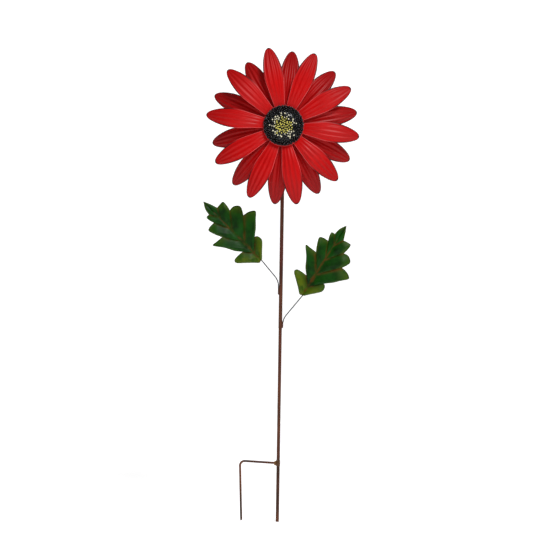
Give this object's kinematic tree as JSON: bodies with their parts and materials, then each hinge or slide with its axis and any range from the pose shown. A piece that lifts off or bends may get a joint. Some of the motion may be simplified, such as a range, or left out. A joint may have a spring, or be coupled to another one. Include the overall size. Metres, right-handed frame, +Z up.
{
  "type": "wind spinner",
  "caption": "Flower-shaped garden wind spinner: a round double layer of arched red petals turns on an axle at the top of a slim ground stake with two green leaves.",
  "frame": {"origin": "centre of the lower end of the ground stake", "axes": "+Z up along the stake, the flower faces -Y, +X to the right of a viewer who faces the flower"},
  "size_m": [0.3712, 0.114, 1.132],
  "materials": {
    "petal_red": "gloss translucent red paint over steel",
    "seed_black": "gloss black paint, gold brushed on the middle",
    "leaf_green": "satin dark green paint with rust-brown veins",
    "stem_bronze": "mottled bronze-brown paint",
    "dark_wire": "satin dark grey",
    "zinc_steel": "zinc plated",
    "bronze_bush": "plain bearing bronze"
  },
  "bodies": {
    "stake": {"lower_stem": "stem_bronze", "ground_fork": "stem_bronze", "fork_weld": "stem_bronze"},
    "stem": {"upper_stem": "stem_bronze", "head_boss": "stem_bronze", "head_weld": "stem_bronze", "axle_bolt": "zinc_steel", "front_washer": "zinc_steel", "rear_washer": "zinc_steel", "stop_nut": "zinc_steel", "jam_nut": "zinc_steel", "cap_nut": "zinc_steel", "left_leaf": "leaf_green", "left_leaf_wire": "dark_wire", "left_wire_weld": "dark_wire", "right_leaf": "leaf_green", "right_leaf_wire": "dark_wire", "right_wire_weld": "dark_wire"},
    "flower": {"hub_sleeve": "zinc_steel", "rear_bush": "bronze_bush", "front_bush": "bronze_bush", "front_hub_plate": "petal_red", "back_hub_plate": "petal_red", "dome_base": "petal_red", "seed_dome": "seed_black", "dome_tacks": "petal_red", "front_petal_01": "petal_red", "front_petal_02": "petal_red", "front_petal_03": "petal_red", "front_petal_04": "petal_red", "front_petal_05": "petal_red", "front_petal_06": "petal_red", "front_petal_07": "petal_red", "front_petal_08": "petal_red", "front_petal_09": "petal_red", "front_petal_10": "petal_red", "back_petal_01": "petal_red", "back_petal_02": "petal_red", "back_petal_03": "petal_red", "back_petal_04": "petal_red", "back_petal_05": "petal_red", "back_petal_06": "petal_red", "back_petal_07": "petal_red", "back_petal_08": "petal_red", "back_petal_09": "petal_red", "back_petal_10": "petal_red"}
  },
  "joints": [
    {"name": "stem_slip", "type": "slide", "parent": "stake", "child": "stem", "axis": [0, 0, 1], "range_m": [0, 0.05]},
    {"name": "flower_spin", "type": "hinge", "parent": "stem", "child": "flower", "pos_m": [0, -0.05, 0.949], "axis": [0, -1, 0], "continuous": true}
  ]
}
